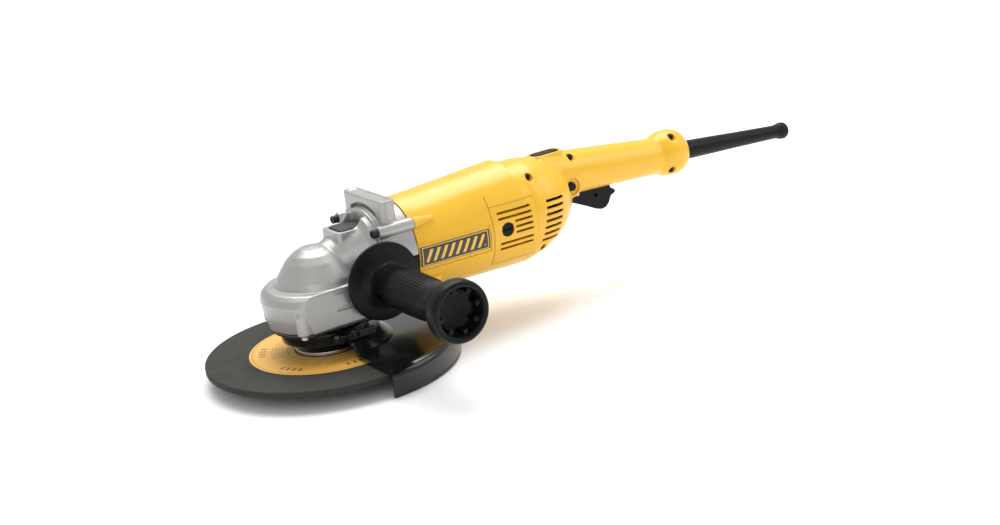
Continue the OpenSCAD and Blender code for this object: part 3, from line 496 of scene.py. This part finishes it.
# a half-round rib lies along each flank, over the lower screw
for side_name, side_y in (("left", -39.3), ("right", 39.3)):
    rib = lathe("bolt_rib_" + side_name, [(0, -4), (2.6, -4), (2.6, 40), (0, 40)], origin=(0, side_y, 62.5),
                axis=(1, 0, 0), segments=48, radius=2.0)
    rib.data.materials.append(FINISHES["cast_alloy"])
    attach(rib, "tool_body")
print("castings:", [(o.name, len(o.data.polygons)) for o in made_castings])

# %% [markdown]
# ## Wheel, label and flange
# All three are turned. The wheel is a flat ring with a slightly chamfered rim, the label is paper pressed on
# its upper face, and the steel flange above it steps up towards the bearing.

# %% Wheel stack
wheel = lathe("wheel", [(11.1, 11), (114.4, 11), (115, 11.8), (115, 16.2), (114.4, 17), (11.1, 17)],
              segments=256, loop=True, radius=0.5)
keep(wheel, "grinding_disc")
label = lathe("wheel_label", [(31, 17), (73.6, 17), (73.6, 17.3), (31, 17.3)], segments=192, loop=True, radius=0.08)
keep(label, "disc_label")
flange = lathe("pressure_flange",
               [(6.4, 11), (11.04, 11), (11.04, 17), (30, 17), (30, 21), (24, 21), (15, 28), (6.4, 28)],
               segments=128, loop=True, radius=0.8)
keep(flange, "inner_flange")
print("wheel stack:", [len(o.data.polygons) for o in (wheel, label, flange)])

# %% [markdown]
# ## Guard
# The guard is pressed sheet, so its profile is a constant thickness: up to the clamp band, across the top,
# over a generous bend and down a skirt that ends in a rolled lip. It covers the rear half of the wheel.

# %% Guard shell
guard_profile = [(41, 32.2), (41, 30), (51, 29), (62, 20), (115.5, 20), (119.5, 18), (121.5, 14), (121.5, -0.8),
                 (120.3, -2.8), (124.3, -2.8), (124.3, -0.8), (123.7, 0.2), (123.7, 15), (121.7, 20),
                 (116.5, 22.2), (62, 22.2), (51, 32.2)]
guard = lathe("guard_sheet", guard_profile, segments=160, arc=180.0, start=-90.0, loop=True, radius=2.2)
keep(guard, "guard_shell")
print("guard:", len(guard.data.polygons), "faces")

# %% [markdown]
# ## Side handle
# The body is one turning: a dished hand stop, a waisted neck, a swelling grip and a knob with a hollow face.
# The grip's ribs run lengthways and the hollow has short lugs round its wall. Both are one block repeated
# round an axis by the same geometry-nodes tree.

# %% Radial repeat tree
def radial_tree():
    tree = bpy.data.node_groups.new("repeat_round_axis", "GeometryNodeTree")
    tree.interface.new_socket("Block", in_out="INPUT", socket_type="NodeSocketGeometry")
    tree.interface.new_socket("Count", in_out="INPUT", socket_type="NodeSocketInt")
    tree.interface.new_socket("Finish", in_out="INPUT", socket_type="NodeSocketMaterial")
    tree.interface.new_socket("Ring", in_out="OUTPUT", socket_type="NodeSocketGeometry")
    inlet, outlet = add(tree, "NodeGroupInput"), add(tree, "NodeGroupOutput")
    line = add(tree, "GeometryNodeMeshLine")
    line.inputs["Offset"].default_value = (0, 0, 0)
    tree.links.new(inlet.outputs["Count"], line.inputs["Count"])
    index = add(tree, "GeometryNodeInputIndex")
    step = calc(tree, "DIVIDE", 2 * math.pi, inlet.outputs["Count"])
    turn = add(tree, "ShaderNodeCombineXYZ")
    tree.links.new(calc(tree, "MULTIPLY", index.outputs[0], step), turn.inputs["Z"])
    spread = add(tree, "GeometryNodeInstanceOnPoints")
    tree.links.new(line.outputs[0], spread.inputs["Points"])
    tree.links.new(inlet.outputs["Block"], spread.inputs["Instance"])
    tree.links.new(turn.outputs[0], spread.inputs["Rotation"])
    real = add(tree, "GeometryNodeRealizeInstances")
    tree.links.new(spread.outputs[0], real.inputs[0])
    paint = add(tree, "GeometryNodeSetMaterial")
    tree.links.new(real.outputs[0], paint.inputs["Geometry"])
    tree.links.new(inlet.outputs["Finish"], paint.inputs["Material"])
    tree.links.new(paint.outputs[0], outlet.inputs[0])
    return tree


RADIAL = radial_tree()


def socket_id(tree, name):
    """The identifier of a named input."""
    return next(s.identifier for s in tree.interface.items_tree if s.name == name and s.in_out == "INPUT")


def repeat_round(block, count, finish_name, placed):
    """Repeats a block round Z, bakes it and moves the ring to its place."""
    mod = block.modifiers.new("round", "NODES")
    mod.node_group = RADIAL
    mod[socket_id(RADIAL, "Count")] = count
    mod[socket_id(RADIAL, "Finish")] = FINISHES[finish_name]
    bake(block)
    block.data.transform(placed)
    return block


def strip_block(name, stations, half_width, sink):
    """A long low block lying along Z: (radius, height) stations give its crest, sink buries its foot."""
    bm = bmesh.new()
    rows = []
    for r, h in stations:
        foot = r - sink
        rows.append([bm.verts.new(Vector(p) * MM) for p in (
            (foot, -half_width, h), (r - 0.15, -half_width * 0.75, h), (r, -half_width * 0.3, h),
            (r, half_width * 0.3, h), (r - 0.15, half_width * 0.75, h), (foot, half_width, h))])
    for one, two in zip(rows, rows[1:]):
        for i in range(6):
            bm.faces.new((one[i], one[(i + 1) % 6], two[(i + 1) % 6], two[i]))
    bm.faces.new(rows[0])
    bm.faces.new(rows[-1])
    return mesh_object(name, bm, 50.0)


print("radial tree:", len(RADIAL.nodes), "nodes")

# %% Side handle
PAD = (44.0, -41.0, 78.5)
L = 137.0
K = 28.5
handle_profile = [(0, 29.5), (6.95, 29.5), (6.95, 0), (10.2, 0), (10.2, 4), (18, 6.4), (35, 5.4),
                  (37, 6.4), (37, 8.4), (36, 9.6), (25, 10.6), (18, 13.2), (16.6, 18), (16.4, 24),
                  (17.6, 32), (19, 46), (19.4, 66),
                  (18.9, 88), (18.2, L - 32), (20.2, L - 20), (K - 3.4, L - 12), (K, L - 7), (K, L + 3),
                  (K - 1.2, L + 6), (K - 3.2, L + 7), (K - 6, L + 6.2), (K - 7.5, L + 2), (K - 8.3, L - 10),
                  (K - 14, L - 13), (5, L - 14), (0, L - 14)]
grip_axis = (0, -1, 0)
side = lathe("side_handle", handle_profile, origin=PAD, axis=grip_axis, segments=160, radius=2.0)
keep(side, "side_handle_grip")
to_side = Matrix.Translation(Vector(PAD) * MM) @ Matrix.Rotation(math.radians(90), 4, "X")
RIBS, LUGS = 44, 8
rib_crest = [(16.0, 27), (18.2, 31), (19.6, 46), (20.0, 66), (19.6, 88), (18.8, 97), (17.4, 101)]
ribs = strip_block("side_handle_ribs", rib_crest, 0.75, 1.6)
repeat_round(ribs, RIBS, "black_plastic", to_side)
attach(ribs, "tool_body")
lugs = strip_block("side_handle_lugs", [(22.4, L - 12), (22.4, L + 1), (21.4, L + 2.5)], 2.2, 4.4)
lugs.data.transform(Matrix.Rotation(math.radians(10), 4, "Z"))
repeat_round(lugs, LUGS, "black_plastic", to_side)
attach(lugs, "tool_body")
print("side handle:", len(side.data.polygons), len(ribs.data.polygons), len(lugs.data.polygons))

# %% [markdown]
# ## Cord boot
# The boot is a soft moulding that tapers to a neck and flares at its mouth so the cable can't kink there.

# %% Cord boot
BOOT_AT = Vector((434.0, 0.0, 102.3))
BOOT_DIR = Vector((math.cos(math.radians(4.2)), 0.0, -math.sin(math.radians(4.2))))
boot_profile = [(4.6, -8.5), (12.5, -8.5), (12.5, -4.5), (10, -4.5), (10, 2), (9.2, 38), (8.2, 78), (7.25, 126),
                (7.3, 130), (8.5, 135), (9, 137.5), (9, 141.5), (7.6, 144), (4.6, 144)]
boot = lathe("cord_boot_skin", boot_profile, origin=tuple(BOOT_AT), axis=tuple(BOOT_DIR), segments=96, loop=True,
             radius=1.0)
keep(boot, "cord_boot")
# painted shade: a black disc across the inside of the handle bulb, behind the air slots, stands in for the shade
# there and is no real part
shade_disc = lathe("handle_painted_shade_disc", [(0, 0), (26, 0), (26, 1.2), (0, 1.2)], origin=(266, 0, 102.4), segments=64,
               axis=(math.cos(math.radians(12)), 0, math.sin(math.radians(12))), radius=0.2)
shade_disc.data.materials.append(FINISHES["black_plastic"])
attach(shade_disc, "tool_body")
print("boot and painted shade disc:", len(boot.data.polygons), len(shade_disc.data.polygons), "faces")

# %% [markdown]
# ## Everything inside
# Gears, bearings, windings and the switch group are exact solids already, and so is the motor housing with its
# crisp air slots. They keep their shapes and take the finish of their material slot.

# %% Inner pieces
dressed = 0
for node, solid in frame["nodes"].items():
    if solid.hide_render:
        continue
    solid.data.materials.clear()
    solid.data.materials.append(FINISHES[SLOT_OF[node]])
    dressed += 1
print("inner pieces dressed:", dressed)

# %% [markdown]
# ## Floor, light and camera
# A pale floor fills the view. A very wide sun lights it evenly, and three soft rectangles add highlights on the
# housing and castings. The camera stands in front of the tool's left side and a little above it.

# %% Stage
low_z = min(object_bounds()[0][2], 0.0)
bm = bmesh.new()
bmesh.ops.create_grid(bm, x_segments=1, y_segments=1, size=6.0)
floor = mesh_object("floor", bm, 0)
floor.location = (0, 0, low_z - 0.0002)
floor_mat = bpy.data.materials.new("floor_paper")
floor_mat.use_nodes = True
floor_tree = floor_mat.node_tree
floor_shader = floor_tree.nodes["Principled BSDF"]
paper = add(floor_tree, "ShaderNodeTexNoise")
paper.inputs["Scale"].default_value = 40.0
floor_tree.links.new(mix(floor_tree, paper.outputs["Fac"], (0.95, 0.95, 0.95, 1), (0.97, 0.97, 0.97, 1)),
                     floor_shader.inputs["Base Color"])
floor_shader.inputs["Roughness"].default_value = 0.9
floor.data.materials.append(floor_mat)


def soft_light(name, location, target, size, power):
    lamp = bpy.data.lights.new(name, "AREA")
    lamp.shape = "RECTANGLE"
    lamp.size, lamp.size_y = size
    lamp.energy = power
    made = bpy.data.objects.new(name, lamp)
    bpy.context.scene.collection.objects.link(made)
    made.location = location
    made.rotation_euler = (Vector(target) - Vector(location)).to_track_quat("-Z", "Y").to_euler()
    return made


lights = [
    soft_light("key", (0.5, 0.5, 1.5), (0.2, 0, 0.1), (1.4, 1.0), 13.0),
    soft_light("front", (-0.9, -1.2, 0.9), (0.2, 0, 0.05), (1.0, 0.8), 3.5),
    soft_light("rear", (1.3, -0.6, 0.9), (0.3, 0, 0.1), (0.8, 0.8), 4.0),
]
sun = bpy.data.lights.new("ceiling", "SUN")
sun.energy = 1.35
sun.angle = math.radians(50)
ceiling = bpy.data.objects.new("ceiling", sun)
bpy.context.scene.collection.objects.link(ceiling)
ceiling.rotation_euler = (math.radians(-22), math.radians(12), 0)
lights.append(ceiling)
world = bpy.data.worlds.new("studio")
world.use_nodes = True
world.node_tree.nodes["Background"].inputs[0].default_value = (1, 1, 1, 1)
world.node_tree.nodes["Background"].inputs[1].default_value = 0.66
bpy.context.scene.world = world

# the camera's turn, height and lean in radians, then its distance and side steps in millimetres
az, el, roll = -0.543, 0.306, -0.125
back = Vector((math.sin(az) * math.cos(el), -math.cos(az) * math.cos(el), math.sin(el)))
right = (-back).cross(Vector((0, 0, 1))).normalized()
up = right.cross(-back)
r2 = math.cos(roll) * right + math.sin(roll) * up
u2 = -math.sin(roll) * right + math.cos(roll) * up
target = Vector((90, 0, 47))
eye = target + back * 1669.133 + r2 * 90.598 + u2 * 25.552
bpy.context.scene.view_settings.view_transform = "Standard"
camera_data = bpy.data.cameras.new("camera")
camera_data.lens = 62.779
camera_data.sensor_width = 36.0
camera_data.sensor_fit = "HORIZONTAL"
camera = bpy.data.objects.new("camera", camera_data)
bpy.context.scene.collection.objects.link(camera)
camera.matrix_world = Matrix((
    (r2.x, u2.x, back.x, eye.x * MM),
    (r2.y, u2.y, back.y, eye.y * MM),
    (r2.z, u2.z, back.z, eye.z * MM),
    (0, 0, 0, 1)))
bpy.context.scene.camera = camera
print("stage: floor at", round(low_z, 4), "camera at", [round(v, 3) for v in camera.location])
